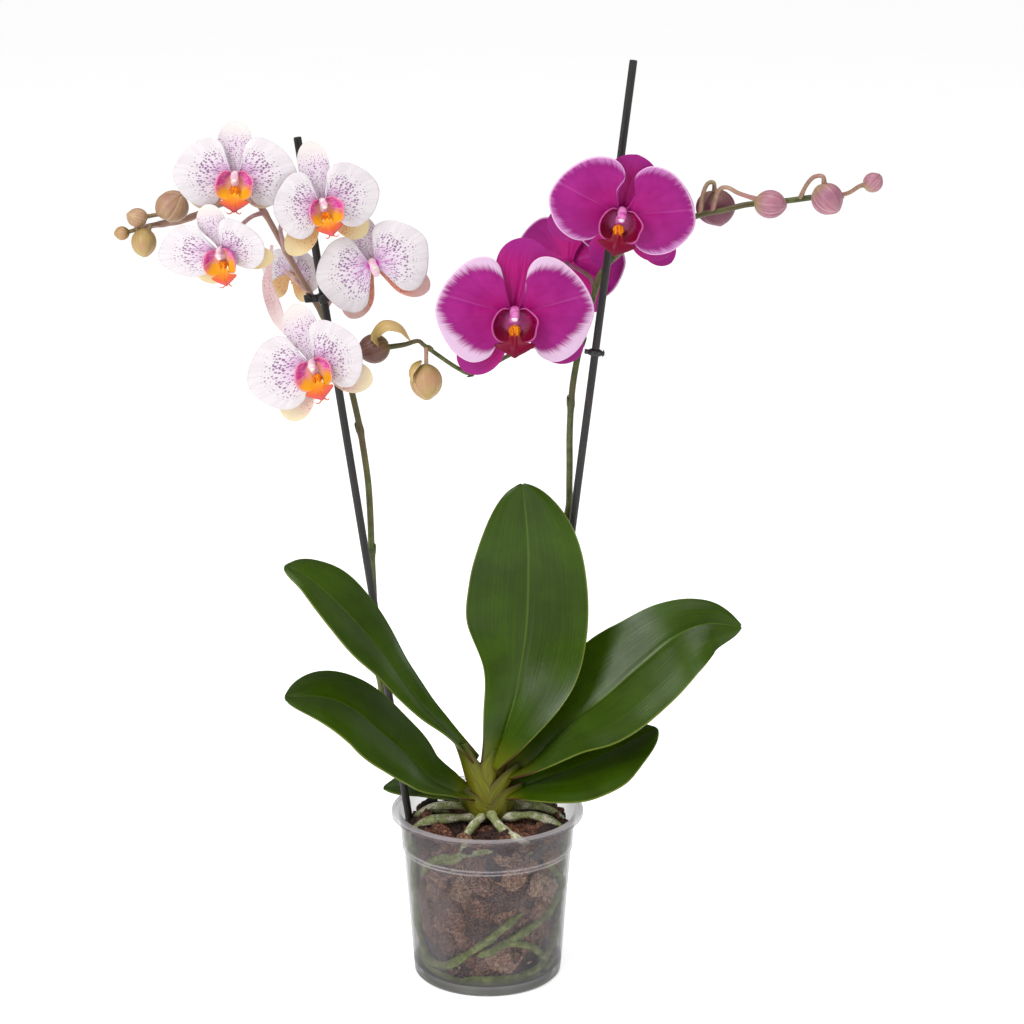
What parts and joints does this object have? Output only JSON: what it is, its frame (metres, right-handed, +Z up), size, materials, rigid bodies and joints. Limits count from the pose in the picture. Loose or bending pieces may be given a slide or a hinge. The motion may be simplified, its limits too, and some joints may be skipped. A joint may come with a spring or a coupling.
{
  "type": "potted moth orchid",
  "caption": "Moth orchid in a clear nursery pot, with staked spikes of white spotted and magenta flowers, broad leaves, bark and roots.",
  "frame": {"origin": "middle of the pot's flat foot pad, on the surface the pot stands on", "axes": "+Z up, -Y the front of the plant, +X to the viewer's right from the front"},
  "size_m": [0.4549, 0.1542, 0.5733],
  "materials": {
    "clear_plastic": "hazy translucent moulded pot",
    "bark": "rough damp bark chips",
    "root": "silver green velvety root",
    "crown": "yellow green leaf bases with purple brown edges",
    "leaf": "waxy deep green leaf",
    "flower_stem": "olive green stem",
    "stake": "dark grey ribbed stake",
    "clip": "black soft clip",
    "white_petal": "white petal with purple spots",
    "magenta_petal": "magenta petal with a pale margin",
    "white_flower_lip": "pink, yellow and orange lip",
    "magenta_flower_lip": "crimson lip with an orange middle",
    "pink_bud": "mauve striped bud",
    "tan_bud": "tan and olive bud"
  },
  "bodies": {
    "root": {"pot": "clear_plastic", "root_left": "root", "root_front": "root", "root_right_front": "root", "root_right": "root", "crown": "crown", "stake_left": "stake", "stake_right": "stake", "bark": "bark", "leaf_centre": "leaf", "leaf_right": "leaf", "leaf_right_low": "leaf", "leaf_left": "leaf", "leaf_left_low": "leaf", "leaf_left_small": "leaf", "spike_left": "flower_stem", "spike_right": "flower_stem", "clip_left": "clip", "clip_right": "clip", "bud_left_1": "tan_bud", "bud_left_2": "tan_bud", "bud_left_3": "tan_bud", "bud_left_4": "tan_bud", "bud_right_1": "pink_bud", "bud_right_2": "pink_bud", "bud_right_3": "pink_bud", "bud_right_4": "pink_bud", "bud_side_1": "tan_bud", "bud_side_2": "tan_bud", "white_flower_1_sepals": "white_petal", "white_flower_1_petals": "white_petal", "white_flower_1_lip": "white_flower_lip", "white_flower_2_sepals": "white_petal", "white_flower_2_petals": "white_petal", "white_flower_2_lip": "white_flower_lip", "white_flower_3_sepals": "white_petal", "white_flower_3_petals": "white_petal", "white_flower_3_lip": "white_flower_lip", "white_flower_4_sepals": "white_petal", "white_flower_4_petals": "white_petal", "white_flower_5_sepals": "white_petal", "white_flower_5_petals": "white_petal", "white_flower_5_lip": "white_flower_lip", "white_flower_6_sepals": "white_petal", "white_flower_6_petals": "white_petal", "white_flower_6_lip": "white_flower_lip", "magenta_flower_1_sepals": "magenta_petal", "magenta_flower_1_petals": "magenta_petal", "magenta_flower_1_lip": "magenta_flower_lip", "magenta_flower_2_sepals": "magenta_petal", "magenta_flower_2_petals": "magenta_petal", "magenta_flower_2_lip": "magenta_flower_lip", "magenta_flower_3_sepals": "magenta_petal", "magenta_flower_3_petals": "magenta_petal", "magenta_flower_3_lip": "magenta_flower_lip", "magenta_flower_4_sepals": "magenta_petal", "magenta_flower_4_petals": "magenta_petal", "magenta_flower_4_lip": "magenta_flower_lip"}
  },
  "joints": []
}
